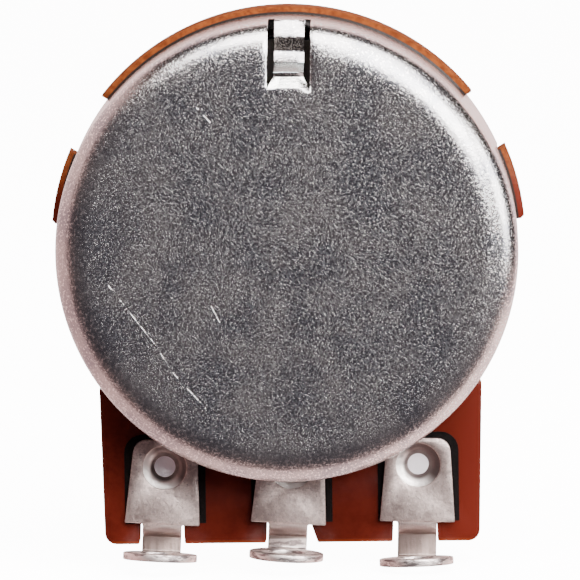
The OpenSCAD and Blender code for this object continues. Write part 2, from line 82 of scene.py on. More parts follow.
# Strip pressed into the can between two slits. Its depths are measured from the rear face.
BRIDGE_A = 1.4          # angle of its middle, clockwise from straight up
STRIP_HALF = 0.775
WINDOW_HALF = 1.105     # half the distance between the slits' outer sides
SLIT_WALL_DEPTH = 2.6   # how far down the wall the slits reach
SLIT_END_R = 8.65
CREASE_R = 9.2          # where its slope down from the rear face ends
CREASE_DEPTH = 0.44
STEP_R = 9.82           # where its rise from the floor grows steep
FLOOR_R = 10.35         # the floor's inner and outer end
FLOOR_OUT_R = 11.1
FLOOR_DEPTH = 2.05

# Scratches on the can's rear face: start, end and half width
SCRATCHES = (((-9.45, -1.15), (-6.85, -4.55), 0.045), ((-6.85, -4.55), (-5.85, -6.15), 0.065),
             ((-5.85, -6.15), (-4.25, -7.95), 0.045), ((-4.5, 7.7), (-3.7, 6.8), 0.05),
             ((-3.9, -2.6), (-3.3, -3.8), 0.05))

# Wafer and rivets
WAFER_R = 12.4
SIDE_R = 11.9           # radius below the side lips
LIP_END_A = 84.7        # angle at which a side lip ends
LIP_STEP = 0.15
WAFER_HOLE_R = 4.6125
EAR_NOTCH_HALF = 1.65
EAR_NOTCH_R = 11.295
TAIL_HALF = 10.02
TAIL_TOP = -7.305
TAIL_BOTTOM = -15.85
TAIL_TAPER = 0.2
RIVET_Y = -11.75
PITCH = 6.64
BARREL_R = 0.85
BORE_R = 0.57
FLARE_R = 1.165         # radius of the barrel's rolled end in the plate
MOUTH_SHIFT = -0.2      # how far the stems' mouths stand to the left of the rivets
MOUTH_EXTRA = 0.35      # by how much the centre mouth opens further to the right

# Terminals
SHEET = 0.38
PLATE_HIGH = 1.43       # the plate's reach above and below the rivet
PLATE_LOW = 3.0
PLATE_TOP_HALF = 1.64
PLATE_LOW_HALF = 1.97
JOGGLE_HIGH = 0.28      # where the stem's step forward begins and ends, below the plate
JOGGLE_LOW = 0.6
STEM_HALF = 1.015
STEM_STEP = 0.75        # how far forwards the stem steps from the plate
STEM_LEVEL = SHEET / 2 - STEM_STEP      # the stem's mid-plane, from the plate's front face
STEM_BEND_R = 0.3
LUG_DROP = 4.6
LUG_R = 1.94
LUG_HOLE_R = 1.0
LUG_REACH = STEM_BEND_R / 2 + 2 * LUG_R
LUG_START = -2.75       # depth behind the panel face, as a negative y, at which a lug's shade begins

# Terminals: node, place across, lean, extra drop, the lug's pitch and roll, and the plate's level
TERMINALS = (("terminal_left", -PITCH, 3.4, 0.15, 5.5, 0.0, PRINT_REAR),
             ("terminal_centre", 0.0, 3.8, 0.0, 2.5, 0.0, COLLECTOR_REAR),
             ("terminal_right", PITCH, 1.5, 0.5, 5.0, 3.0, PRINT_REAR))

# Bushing
THREAD_R = 4.7625
THREAD_ROOT_R = 4.30
THREAD_PITCH = 25.4 / 32
THREAD_END = -0.35      # level at which the thread runs out
BUSHING_L = 9.525
BUSHING_BORE_R = 3.205
BUSHING_SEAT_R = 4.2125
FLANGE_R = 4.9125       # flange behind the front plate
FLANGE_FRONT = 0.8
FLANGE_REAR = 1.2

# Studio: the dark cone's axis, the world's colours from the cone's back to its middle, and the
# side with more light, with the tints there and opposite
DARK_CONE = (0.147, -0.978, 0.147)
WORLD_STOPS = ((0.26, (1.55, 1.18, 1.14)), (0.40, (0.30, 0.23, 0.22)), (0.60, (0.10, 0.092, 0.10)),
               (1.0, (0.070, 0.068, 0.080)))
BRIGHT_SIDE = (0.9, 0.1, 0.4)
BRIGHT_TINT = (2.25, 2.15, 2.10)
DIM_TINT = (0.72, 0.58, 0.57)

# Dark band round the cone: the side on which it lies, and its colour
BAND_SIDE = (0.5, -0.1, 0.87)
BAND_COLOUR = (0.05, 0.041, 0.039)

# Strengths of what the camera sees behind and below the part
BACKDROP = 13.0
FLOOR_GLOW = 12.0

# Lights: name, direction, width and height in metres, watts and colour
LIGHT_DISTANCE = 0.5
LIGHTS = (("key", (0.40, -0.84, 0.36), 0.28, 0.28, 3.7, (1.0, 0.985, 0.97)),
          ("overhead", (0.10, -0.60, 0.77), 0.58, 0.32, 6.2, (1.0, 0.97, 0.95)),
          ("right", (0.84, -0.52, 0.17), 0.22, 0.26, 2.0, (1.0, 0.985, 0.97)))


# Plane geometry

def arc(radius, start, end, steps, centre=(0.0, 0.0)):
    """Points of an arc, with angles in degrees clockwise from straight up."""
    points = []
    for k in range(steps + 1):
        a = math.radians(start + (end - start) * k / steps)
        points.append((centre[0] + radius * math.sin(a), centre[1] + radius * math.cos(a)))
    return points


def corner(before, at, after, radius, steps=5):
    """Points that round the corner at between its neighbours."""
    p = Vector(at)
    u = (Vector(before) - p).normalized()
    v = (Vector(after) - p).normalized()
    half = math.acos(max(-1.0, min(1.0, u.dot(v)))) / 2
    if radius <= 0 or abs(half - math.pi / 2) < 1e-4:
        return [tuple(p)]
    centre = p + (u + v).normalized() * radius / math.sin(half)
    first = p + u * radius / math.tan(half) - centre
    last = p + v * radius / math.tan(half) - centre
    start = math.atan2(first.y, first.x)
    sweep = (math.atan2(last.y, last.x) - start + 3 * math.pi) % (2 * math.pi) - math.pi
    turns = [start + sweep * k / steps for k in range(steps + 1)]
    return [(centre.x + radius * math.cos(t), centre.y + radius * math.sin(t)) for t in turns]


def bent_path(corners, radii, steps):
    """An open path whose inner corners are rounded."""
    path = [tuple(corners[0])]
    for i in range(1, len(corners) - 1):
        path += corner(corners[i - 1], corners[i], corners[i + 1], radii[i - 1], steps)
    return path + [tuple(corners[-1])]


def turned(points, angle):
    """The points turned clockwise by an angle in degrees."""
    a = math.radians(angle)
    return [(x * math.cos(a) + y * math.sin(a), y * math.cos(a) - x * math.sin(a))
            for x, y in points]


# Meshes

def linked(name, mesh, material):
    """A new object in the scene, smooth where its faces meet at a small angle."""
    mesh.shade_smooth()
    mesh.set_sharp_from_angle(angle=SMOOTH_ANGLE)
    mesh.materials.append(material)
    obj = bpy.data.objects.new(name, mesh)
    bpy.context.scene.collection.objects.link(obj)
    return obj


def piece(name, mesh, material, body):
    """A finished object from a mesh drawn as seen from behind."""
    mesh.transform(FROM_BEHIND)
    obj = linked(name, mesh, material)
    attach(obj, body)
    return obj


def welded(mesh):
    """The mesh with coinciding points joined and its faces turned outwards."""
    bm = bmesh.new()
    bm.from_mesh(mesh)
    bmesh.ops.remove_doubles(bm, verts=bm.verts, dist=WELD)
    bmesh.ops.recalc_face_normals(bm, faces=bm.faces)
    bm.to_mesh(mesh)
    bm.free()
    return mesh


def revolved(name, profile, steps, radius_at=None):
    """A closed profile of (radius, level) points turned round the axis.

    radius_at, if given, changes a point's radius with its level and its share of the turn.
    """
    verts, faces = [], []
    count = len(profile)
    for k in range(steps):
        a = 2 * math.pi * k / steps
        for r, w in profile:
            turned_r = radius_at(r, w, k / steps) if radius_at else r
            verts.append((turned_r * math.sin(a), turned_r * math.cos(a), w))
    for k in range(steps):
        for i in range(count):
            j = (i + 1) % count
            low, high = k * count, (k + 1) % steps * count
            faces.append((low + i, low + j, high + j, high + i))
    mesh = bpy.data.meshes.new(name)
    mesh.from_pydata(verts, [], faces)
    return welded(mesh)


def blank(name, outlines, thickness, edge):
    """A flat sheet with softened edges, cut to the first outline with the others as holes."""
    curve = bpy.data.curves.new(name, "CURVE")
    curve.dimensions = "2D"
    curve.fill_mode = "BOTH"
    curve.extrude = thickness / 2 - edge
    curve.bevel_depth = edge
    curve.bevel_resolution = 1
    curve.offset = -edge
    for outline in outlines:
        spline = curve.splines.new("POLY")
        spline.points.add(len(outline) - 1)
        for point, (x, y) in zip(spline.points, outline):
            point.co = (x, y, 0, 1)
        spline.use_cyclic_u = True
    holder = bpy.data.objects.new(name, curve)
    bpy.context.scene.collection.objects.link(holder)
    view = bpy.context.evaluated_depsgraph_get()
    mesh = bpy.data.meshes.new_from_object(holder.evaluated_get(view))
    bpy.data.objects.remove(holder)
    bpy.data.curves.remove(curve)
    return welded(mesh)


def joined(name, meshes):
    """One mesh from several."""
    bm = bmesh.new()
    for mesh in meshes:
        bm.from_mesh(mesh)
        bpy.data.meshes.remove(mesh)
    result = bpy.data.meshes.new(name)
    bm.to_mesh(result)
    bm.free()
    return result


def softened(node, name, material, body, width=0.06):
    """A copy of a CAD node with its sharp edges rounded off."""
    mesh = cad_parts[node].data.copy()
    mesh.materials.clear()
    bm = bmesh.new()
    bm.from_mesh(mesh)
    bmesh.ops.remove_doubles(bm, verts=bm.verts, dist=0.002 * MM)
    bmesh.ops.dissolve_limit(bm, angle_limit=math.radians(0.5), verts=bm.verts, edges=bm.edges)
    bm.to_mesh(mesh)
    bm.free()
    mesh.name = name
    obj = linked(name, mesh, material)
    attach(obj, body)
    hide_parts(node)
    soften_edges(obj, width, angle=35)


def soften_edges(obj, width, angle):
    """Rounds off the edges that are sharper than an angle in degrees."""
    bevel = obj.modifiers.new("soft_edges", "BEVEL")
    bevel.width = width * MM
    bevel.segments = 2
    bevel.limit_method = "ANGLE"
    bevel.angle_limit = math.radians(angle)
    bevel.use_clamp_overlap = True
    bevel.harden_normals = False


# Can

def can_rows():
    """Stations of the can's outside from an ear's tip to the centre, and the marked ones."""
    low = PAD_H - CAN_T
    tip = CAN_R - EAR_FOLD
    rows = [(tip + (CAN_R - CAN_T - tip) * k / 4, low) for k in range(4)]
    for k in range(6):
        t = math.radians(90 * k / 5)
        rows.append((CAN_R - CAN_T + CAN_T * math.sin(t), low + CAN_T - CAN_T * math.cos(t)))
    rows += [(CAN_R, WAFER_FRONT), (CAN_R, (WAFER_FRONT + WAFER_REAR) / 2)]
    marks = {"rim": len(rows)}
    rows += [(CAN_R, WAFER_REAR), (CAN_R, WAFER_REAR + RIM_RELIEF_H / 2)]
    marks["relief"] = len(rows)
    rows += [(CAN_R, WAFER_REAR + RIM_RELIEF_H), (CAN_R, 5.0), (CAN_R, 5.6)]
    marks["slit"] = len(rows)
    rows += [(CAN_R, CAN_REAR - SLIT_WALL_DEPTH)]
    bend_steps = 12
    for k in range(bend_steps + 1):
        t = math.radians(90 * k / bend_steps)
        rows.append((CAN_R - BEND_REACH * (1 - math.cos(t)),
                     WALL_END + (CAN_REAR - WALL_END) * math.sin(t)))
    rows += [(r, CAN_REAR) for r in (9.75, CREASE_R, 9.1, 9.0, 8.9, 8.775)]
    marks["slit_end"] = len(rows)
    rows += [(r, CAN_REAR) for r in (SLIT_END_R, 8.4, 8.0, 7.2, 6.0, 4.8, 3.6, 2.4, 1.2, 0.4)]
    return rows, marks


def can_columns():
    """Angles of the can's columns where they cross the wall, clockwise from straight up."""
    marked = []
    for half in (STRIP_HALF / 2, STRIP_HALF, WINDOW_HALF, 1.2, 1.35, 1.7, 2.2):
        a = math.degrees(math.asin(half / CAN_R))
        marked += [BRIDGE_A - a, BRIDGE_A + a]
    marked.append(BRIDGE_A)
    ear_half = math.degrees(math.asin(EAR_W / 2 / CAN_R))
    for a in EAR_ANGLES:
        marked += [a - ear_half, a, a + ear_half]
    relief = math.degrees(math.asin(RIM_RELIEF_X / CAN_R))
    marked += [-180 + relief, 180 - relief, 180]
    marked.sort()
    columns, widest = [], 2.6
    for k, a in enumerate(marked):
        after = marked[k + 1] if k + 1 < len(marked) else marked[0] + 360
        steps = max(1, round((after - a) / widest))
        columns += [a + (after - a) * j / steps for j in range(steps)]
    return columns


def strip_rows(count):
    """The pressed strip's outside, as many stations as the rows that it stands for."""
    corners = [(CAN_R, SLIT_WALL_DEPTH), (CAN_R, SLIT_WALL_DEPTH - 0.18), (FLOOR_OUT_R, FLOOR_DEPTH),
               (FLOOR_R, FLOOR_DEPTH), (STEP_R, 1.66), (CREASE_R + 0.25, CREASE_DEPTH + 0.02),
               (CREASE_R, CREASE_DEPTH), (SLIT_END_R + 0.03, 0.02), (SLIT_END_R - 0.05, 0.0)]
    path = bent_path(corners, (0.24, 0.5, 0.15, 0.1, 0.06, 0, 0.06), 2)
    assert len(path) == count, (len(path), count)
    return [(r, CAN_REAR - depth) for r, depth in path]


def can_point(rows, marks, strip, i, a):
    """Where row i and the column that crosses the wall at angle a meet."""
    r, w = rows[i]
    from_bridge = a - BRIDGE_A
    offset = CAN_R * math.sin(math.radians(from_bridge)) if abs(from_bridge) < 90 else 99.0
    in_window = marks["slit"] <= i <= marks["slit_end"]
    rolled_half = 1.25      # the slits' outer edges sink a little, up to here
    if in_window and abs(offset) <= STRIP_HALF + 1e-6:
        r, w = strip[i - marks["slit"]]
        widening = max(0.0, min(1.0, (CREASE_R - r) / (CREASE_R - SLIT_END_R)))
        offset *= 1 + widening * (WINDOW_HALF / STRIP_HALF - 1)
    elif in_window and abs(offset) < rolled_half:
        sink = 0.07 if abs(offset) < WINDOW_HALF + 0.01 else 0.02
        fade = min(1.0, (i - marks["slit"]) / 3, (marks["slit_end"] - i) / 2)
        flat = max(0.0, min(1.0, (w - WALL_END) / (CAN_REAR - WALL_END)))
        r -= sink * fade * (1 - flat)
        w -= sink * fade * flat
    if i < marks["rim"]:
        ear = min(EAR_ANGLES, key=lambda e: abs(e - a))
        side = CAN_R * math.sin(math.radians(a - ear))
        angle = ear + math.degrees(math.asin(max(-1, min(1, side / r))))
    else:
        angle = a + column_shift(from_bridge, offset, r)
    t = math.radians(angle)
    return (r * math.sin(t), r * math.cos(t), w)


def column_shift(from_bridge, offset, r):
    """How far a column near the bridge turns, so that the window's sides stay parallel."""
    straight, fade = 11.5, 40.0
    if abs(from_bridge) >= fade:
        return 0.0
    flat_r = max(r, 8.0)
    if abs(from_bridge) <= straight:
        return math.degrees(math.asin(offset / flat_r)) - from_bridge
    edge = CAN_R * math.sin(math.radians(straight))
    most = math.degrees(math.asin(edge / flat_r)) - straight
    return math.copysign(most * (fade - abs(from_bridge)) / (fade - straight), from_bridge)


def can_face_kept(i, a, marks):
    """True if the sheet is there between rows i and i + 1 at the angle a."""
    near_ear = any(abs(a - e) < math.degrees(math.asin(EAR_W / 2 / CAN_R)) for e in EAR_ANGLES)
    if i < marks["rim"]:
        return near_ear
    from_down = abs(abs(a) - 180)
    if i < marks["relief"]:
        return from_down > math.degrees(math.asin(RIM_RELIEF_X / CAN_R))
    offset = abs(CAN_R * math.sin(math.radians(a - BRIDGE_A)))
    in_slit = STRIP_HALF < offset < WINDOW_HALF and abs(a) < 90
    return not (in_slit and marks["slit"] <= i < marks["slit_end"])


def make_can(material):
    """The can as one drawn sheet, with its ears, its slits and its pressed strip."""
    rows, marks = can_rows()
    columns = can_columns()
    strip = strip_rows(marks["slit_end"] - marks["slit"] + 1)
    verts = [can_point(rows, marks, strip, i, a) for i in range(len(rows)) for a in columns]
    verts.append((0, 0, CAN_REAR))
    n = len(columns)
    faces = []
    for i in range(len(rows) - 1):
        for j in range(n):
            after = columns[(j + 1) % n] + (360 if j + 1 == n else 0)
            middle = (columns[j] + after) / 2
            middle -= 360 if middle > 180 else 0
            if can_face_kept(i, middle, marks):
                k = (j + 1) % n
                faces.append((i * n + j, i * n + k, (i + 1) * n + k, (i + 1) * n + j))
    last = (len(rows) - 1) * n
    faces += [(last + j, last + (j + 1) % n, len(verts) - 1) for j in range(n)]
    mesh = bpy.data.meshes.new("rear_can_sheet")
    mesh.from_pydata(verts, [], faces)
    bm = bmesh.new()
    bm.from_mesh(mesh)
    bmesh.ops.remove_doubles(bm, verts=bm.verts, dist=WELD)
    loose = [v for v in bm.verts if not v.link_faces]
    bmesh.ops.delete(bm, geom=loose, context="VERTS")
    top = max(bm.faces, key=lambda f: f.calc_center_median().z)
    top.normal_update()
    if top.normal.z < 0:
        bmesh.ops.reverse_faces(bm, faces=bm.faces)
    bm.to_mesh(mesh)
    bm.free()
    can = piece("rear_can_drawn", mesh, material, "housing")
    thick = can.modifiers.new("sheet", "SOLIDIFY")
    thick.thickness = CAN_T * MM
    thick.offset = -1
    thick.use_even_offset = True
    thick.use_quality_normals = True
    soften_edges(can, width=0.05, angle=50)
    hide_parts("rear_can")


# Wafer

def ear_notch(angle, radius):
    """The notch's four corners, from its first side to its last."""
    half = EAR_NOTCH_HALF
    outer = math.sqrt(radius ** 2 - half ** 2)
    return turned([(-half, outer), (-half, EAR_NOTCH_R), (half, EAR_NOTCH_R), (half, outer)], angle)


def wafer_side():
    """The wafer's right edge from straight up to the tail's upper corner."""
    upper, lower = EAR_ANGLES[2], EAR_ANGLES[3]
    lip_half = math.degrees(math.asin(EAR_NOTCH_HALF / WAFER_R))
    side_half = math.degrees(math.asin(EAR_NOTCH_HALF / SIDE_R))
    tail_a = 180 - math.degrees(math.asin(math.sqrt(SIDE_R ** 2 - TAIL_TOP ** 2) / SIDE_R))
    side = arc(WAFER_R, 0, upper - lip_half, 26)[:-1]
    side += ear_notch(upper, WAFER_R)
    side += arc(WAFER_R, upper + lip_half, LIP_END_A - 0.7, 8)[1:]
    side += arc(WAFER_R - LIP_STEP, LIP_END_A - 0.15, LIP_END_A, 1)
    side += arc(SIDE_R, LIP_END_A, lower - side_half, 10)[:-1]
    side += ear_notch(lower, SIDE_R)
    side += arc(SIDE_R, lower + side_half, tail_a, 4)[1:]
    return side


def mouth(x, extra_right):
    """The notch in the tail's lower edge that a stem passes through, from right to left."""
    x += MOUTH_SHIFT
    half, flare, top = STEM_HALF + 0.12, 0.05, RIVET_Y - 2.95
    low_right = (x + half + flare + extra_right, TAIL_BOTTOM)
    low_left = (x - half - flare, TAIL_BOTTOM)
    high_right, high_left = (x + half, top), (x - half, top)
    return (corner((x + PITCH / 2, TAIL_BOTTOM), low_right, high_right, 0.1, 3)
            + [high_right, high_left]
            + corner(high_left, low_left, (x - PITCH / 2, TAIL_BOTTOM), 0.1, 3))


def make_wafer(material):
    """The board with its tail, its notches for the ears and stems, and the rivets' holes."""
    right = wafer_side()
    left = [(-x, y) for x, y in reversed(right)]
    top_corner, low_corner = (TAIL_HALF, TAIL_TOP), (TAIL_HALF - TAIL_TAPER, TAIL_BOTTOM)
    outline = right + corner(right[-1], top_corner, low_corner, 0.4)
    outline += corner(top_corner, low_corner, (0, TAIL_BOTTOM), 0.6)
    for i in (1, 0, -1):
        outline += mouth(i * PITCH, MOUTH_EXTRA if i == 0 else 0)
    mirror_top, mirror_low = (-TAIL_HALF, TAIL_TOP), (TAIL_TAPER - TAIL_HALF, TAIL_BOTTOM)
    outline += corner((0, TAIL_BOTTOM), mirror_low, mirror_top, 0.6)
    outline += corner(mirror_low, mirror_top, left[0], 0.4)
    outline += left[:-1]
    holes = [arc(WAFER_HOLE_R, 0, 357, 60)]
    for i in (-1, 0, 1):
        holes.append(arc(BARREL_R + 0.05, 0, 345, 23, (i * PITCH, RIVET_Y)))
    mesh = blank("wafer_board", [outline] + holes, WAFER_REAR - WAFER_FRONT, 0.07)
    mesh.transform(Matrix.Translation((0, 0, (WAFER_FRONT + WAFER_REAR) / 2)))
    wafer = piece("wafer_board", mesh, material, "housing")
    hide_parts("wafer")


# Terminals

def terminal_blank(length):
    """A terminal's flat blank, with the rivet at the origin and its lug below it."""
    lug_y = LUG_R - length
    meet = math.degrees(math.asin(STEM_HALF / LUG_R))
    top, low = (PLATE_TOP_HALF, PLATE_HIGH), (PLATE_LOW_HALF, -PLATE_LOW)
    right = corner((-PLATE_TOP_HALF, PLATE_HIGH), top, low, 0.75)
    right += corner(top, low, (0, -PLATE_LOW), 0.06, 2)
    right += corner(low, (STEM_HALF, -PLATE_LOW), (STEM_HALF, lug_y), 0.1, 2)
    lug = arc(LUG_R, meet, 360 - meet, 44, (0, lug_y))
    left = [(-x, y) for x, y in reversed(right)]
    hole = arc(LUG_HOLE_R, 0, 350, 35, (0, lug_y))
    rivet = arc(FLARE_R - 0.005, 0, 350, 35)
    return blank("terminal_blank", [right + lug + left, hole, rivet], SHEET, 0.05)


def lengths_along(path):
    """How far along the path each of its points lies."""
    total, lengths = 0.0, [0.0]
    for a, b in zip(path, path[1:]):
        total += math.dist(a, b)
        lengths.append(total)
    return lengths


def bend_terminal(mesh, path, start, turn, foot_length):
    """Bends the blank along a path of (height, level) points.

    start is the path's first place along the blank. turn is the lug's (pitch, roll) in degrees,
    reached within turn_reach after foot_length.
    """
    turn_reach = 0.45
    lengths = [start + s for s in lengths_along(path)]
    bm = bmesh.new()
    bm.from_mesh(mesh)
    for s in lengths[1:-1]:
        geometry = bm.verts[:] + bm.edges[:] + bm.faces[:]
        bmesh.ops.bisect_plane(bm, geom=geometry, dist=1e-5, plane_co=(0, -s, 0),
                               plane_no=(0, 1, 0))
    foot = Vector((0, path[-1][0], STEM_LEVEL))
    for v in bm.verts:
        s = -v.co.y
        i = max(k for k in range(len(path) - 1) if k == 0 or lengths[k] <= s + 1e-7)
        along = (s - lengths[i]) / (lengths[i + 1] - lengths[i])
        here, there = Vector(path[i]), Vector(path[i + 1])
        spot = here.lerp(there, along)
        normal = path_normal(path, i, along)
        bent = Vector((v.co.x, spot.x + normal.x * v.co.z, spot.y + normal.y * v.co.z))
        weight = max(0.0, min(1.0, (s - foot_length) / turn_reach))
        pitch, roll = (math.radians(t) * weight for t in turn)
        v.co = foot + Matrix.Rotation(roll, 3, "Z") @ Matrix.Rotation(-pitch, 3, "X") @ (bent - foot)
    bm.to_mesh(mesh)
    bm.free()


def path_normal(path, i, along):
    """The sheet's rearward normal on the path, blended at each of its points."""
    def flat(k):
        k = max(0, min(len(path) - 2, k))
        d = (Vector(path[k + 1]) - Vector(path[k])).normalized()
        return Vector((d.y, -d.x))
    at_start = (flat(i - 1) + flat(i)).normalized()
    at_end = (flat(i) + flat(i + 1)).normalized()
    return at_start.lerp(at_end, along).normalized()


def rivet_mesh(seat):
    """The rivet with its dished blind hole at the rear and its head at the front of the wafer."""
    rear = seat + SHEET
    front = WAFER_FRONT
    floor = seat - 0.1
    profile = [(FLARE_R, rear - 0.006), (1.15, rear - 0.02), (1.11, rear - 0.04), (0.98, rear - 0.085),
               (0.84, rear - 0.145), (0.73, rear - 0.26), (0.61, rear - 0.38), (BORE_R, rear - 0.43),
               (BORE_R, floor + 0.03), (BORE_R - 0.03, floor), (0.0, floor), (0.0, front - 0.3),
               (1.02, front - 0.3), (1.10, front - 0.28), (1.21, front - 0.08), (1.25, front),
               (BARREL_R, front), (BARREL_R, seat), (FLARE_R, seat)]
    return revolved("rivet", profile, 64)


def make_terminal(node, x, lean, extra_drop, pitch, roll, seat, material):
    """A terminal with its rivet. Its plate lies on seat, and its angles are in degrees."""
    drop = LUG_DROP + extra_drop
    middle = SHEET / 2
    path = bent_path([(PLATE_HIGH, middle), (-PLATE_LOW - JOGGLE_HIGH, middle),
                      (-PLATE_LOW - JOGGLE_LOW, STEM_LEVEL), (-drop, STEM_LEVEL),
                      (-drop, STEM_LEVEL + LUG_REACH)], (STEM_BEND_R,) * 3, 6)
    length = lengths_along(path)[-1] - PLATE_HIGH
    mesh = terminal_blank(length)
    foot_length = length - LUG_REACH - STEM_BEND_R / 2
    bend_terminal(mesh, path, -PLATE_HIGH, (pitch, roll), foot_length)
    mesh.transform(Matrix.Translation((0, 0, seat)))
    mesh.transform(Matrix.Rotation(math.radians(-lean), 4, "Z"))
    whole = joined(node + "_stamping", [mesh, rivet_mesh(seat)])
    whole.transform(Matrix.Translation((x, RIVET_Y, 0)))
    terminal = piece(node + "_stamping", whole, material, "housing")
    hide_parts(node)


# Bushing

def make_bushing(material):
    """The bushing with its thread, whose ridge climbs one pitch a turn."""
    front = -BUSHING_L
    around, per_turn = 96, 8
    turns = BUSHING_L / THREAD_PITCH
    levels = [front + THREAD_PITCH * k / per_turn for k in range(int(turns * per_turn) + 1)]
    levels = [w for w in levels if w < THREAD_END] + [THREAD_END]
    threaded = -1.0         # stands in the profile for the thread's radius

    def radius_at(r, w, share):
        if r != threaded:
            return r
        phase = (w / THREAD_PITCH - share) % 1.0
        ridge = min(1.0, max(0.0, 1.25 - abs(phase - 0.5) * 3.2))
        fade = min(1.0, max(0.0, (THREAD_END + 0.25 - w) / 0.5))
        wound = THREAD_ROOT_R + (THREAD_R - THREAD_ROOT_R) * ridge * fade
        chamfer = 0.55
        return min(wound, THREAD_R - chamfer + (w - front))

    profile = [(threaded, w) for w in levels]
    profile += [(THREAD_ROOT_R, -0.3), (THREAD_ROOT_R, -0.05), (THREAD_R, -0.03), (THREAD_R, 0.0),
                (BUSHING_SEAT_R, 0.2), (BUSHING_SEAT_R, FLANGE_FRONT),
                (FLANGE_R - 0.0625, FLANGE_FRONT), (FLANGE_R, FLANGE_FRONT + 0.06),
                (FLANGE_R, FLANGE_REAR - 0.05), (FLANGE_R - 0.0625, FLANGE_REAR),
                (BUSHING_BORE_R + 0.1, FLANGE_REAR), (BUSHING_BORE_R, FLANGE_REAR - 0.1),
                (BUSHING_BORE_R, front + 0.25), (BUSHING_BORE_R + 0.2, front)]
    mesh = revolved("bushing_threaded", profile, around, radius_at)
    bushing = piece("bushing_threaded", mesh, material, "housing")
    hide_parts("bushing")


# Node trees and materials

class Tree:
    """Adds nodes to a node tree. Values are numbers, colours or other nodes' outputs."""

    def __init__(self, tree):
        self.tree = tree

    def add(self, kind, **settings):
        node = self.tree.nodes.new(kind)
        for key, value in settings.items():
            setattr(node, key, value)
        return node

    def feed(self, value, socket):
        if isinstance(value, tuple):
            socket.default_value = (*value, 1)
        elif isinstance(value, (int, float)):
            socket.default_value = value
        else:
            self.tree.links.new(value, socket)

    def ramp(self, value, low, high, from_low=0.35, from_high=0.65, smooth=True):
        """Maps a value from one range to another, and holds it there."""
        node = self.add("ShaderNodeMapRange", interpolation_type="SMOOTHSTEP" if smooth else "LINEAR")
        node.inputs["From Min"].default_value = from_low
        node.inputs["From Max"].default_value = from_high
        node.inputs["To Min"].default_value = low
        node.inputs["To Max"].default_value = high
        self.feed(value, node.inputs["Value"])
        return node.outputs["Result"]

    def mix(self, share, first, second, blend="MIX"):
        """A colour between two others, or their product."""
        node = self.add("ShaderNodeMix", data_type="RGBA", blend_type=blend)
        self.feed(share, node.inputs["Factor"])
        for name, value in (("A", first), ("B", second)):
            self.feed(value, [s for s in node.inputs if s.name == name and s.type == "RGBA"][0])
        return [s for s in node.outputs if s.type == "RGBA"][0]

    def math(self, operation, a, b=0.0):
        node = self.add("ShaderNodeMath", operation=operation)
        self.feed(a, node.inputs[0])
        self.feed(b, node.inputs[1])
        return node.outputs[0]

    def times(self, a, b):
        return self.math("MULTIPLY", a, b)


class Nodes(Tree):
    """Builds one material's node tree, with coordinates in millimetres.

    There x is to the right as seen from behind, y forwards and z up.
    """

    def __init__(self, name, colour, roughness, metallic=0.0):
        self.material = bpy.data.materials.new(name)
        self.material.use_nodes = True
        super().__init__(self.material.node_tree)
        self.shader = self.tree.nodes["Principled BSDF"]
        self.set("Base Color", (*colour, 1))
        self.set("Roughness", roughness)
        self.set("Metallic", metallic)
        place = self.add("ShaderNodeTexCoord")
        scale = self.add("ShaderNodeVectorMath", operation="SCALE")
        scale.inputs["Scale"].default_value = 1 / MM
        self.feed(place.outputs["Object"], scale.inputs[0])
        self.mm = scale.outputs[0]
        self.height = None

    def set(self, socket, value):
        self.shader.inputs[socket].default_value = value

    def noise(self, scale, detail, rough, stretch=None, distortion=0.0):
        node = self.add("ShaderNodeTexNoise")
        node.inputs["Scale"].default_value = scale
        node.inputs["Detail"].default_value = detail
        node.inputs["Roughness"].default_value = rough
        node.inputs["Distortion"].default_value = distortion
        source = self.mm
        if stretch:
            squeeze = self.add("ShaderNodeVectorMath", operation="MULTIPLY")
            squeeze.inputs[1].default_value = stretch
            self.feed(self.mm, squeeze.inputs[0])
            source = squeeze.outputs[0]
        self.feed(source, node.inputs["Vector"])
        return node.outputs["Fac"]

    def split(self, vector):
        """The x, y and z of a vector."""
        node = self.add("ShaderNodeSeparateXYZ")
        self.feed(vector, node.inputs[0])
        return node.outputs

    def within(self, value, low, high):
        """1 where the value lies between the two, and 0 elsewhere."""
        return self.times(self.math("GREATER_THAN", value, low), self.math("LESS_THAN", value, high))

    def distance(self, a, b):
        """How far the point (a, b) lies from the origin."""
        return self.math("SQRT", self.math("ADD", self.times(a, a), self.times(b, b)))

    def stroke(self, x, z, start, end, half):
        """A line on the rear face from start to end, 1 in its middle and 0 at its half width."""
        along = Vector(end) - Vector(start)
        u = along.normalized()
        off_x, off_z = self.math("SUBTRACT", x, start[0]), self.math("SUBTRACT", z, start[1])
        far = self.math("ADD", self.times(off_x, u.x), self.times(off_z, u.y))
        side = self.math("SUBTRACT", self.times(off_x, u.y), self.times(off_z, u.x))
        side = self.math("ABSOLUTE", side)
        return self.times(self.ramp(side, 1.0, 0.0, 0.0, half), self.within(far, 0.0, along.length))

    def colour(self, socket):
        self.feed(socket, self.shader.inputs["Base Color"])

    def roughness(self, socket):
        self.feed(socket, self.shader.inputs["Roughness"])

    def bump(self, height, distance):
        """Adds one layer of relief, its depth in millimetres."""
        node = self.add("ShaderNodeBump")
        node.inputs["Distance"].default_value = distance * MM
        node.inputs["Strength"].default_value = 1.0
        self.feed(height, node.inputs["Height"])
        if self.height:
            self.feed(self.height, node.inputs["Normal"])
        self.height = node.outputs["Normal"]
        self.feed(self.height, self.shader.inputs["Normal"])


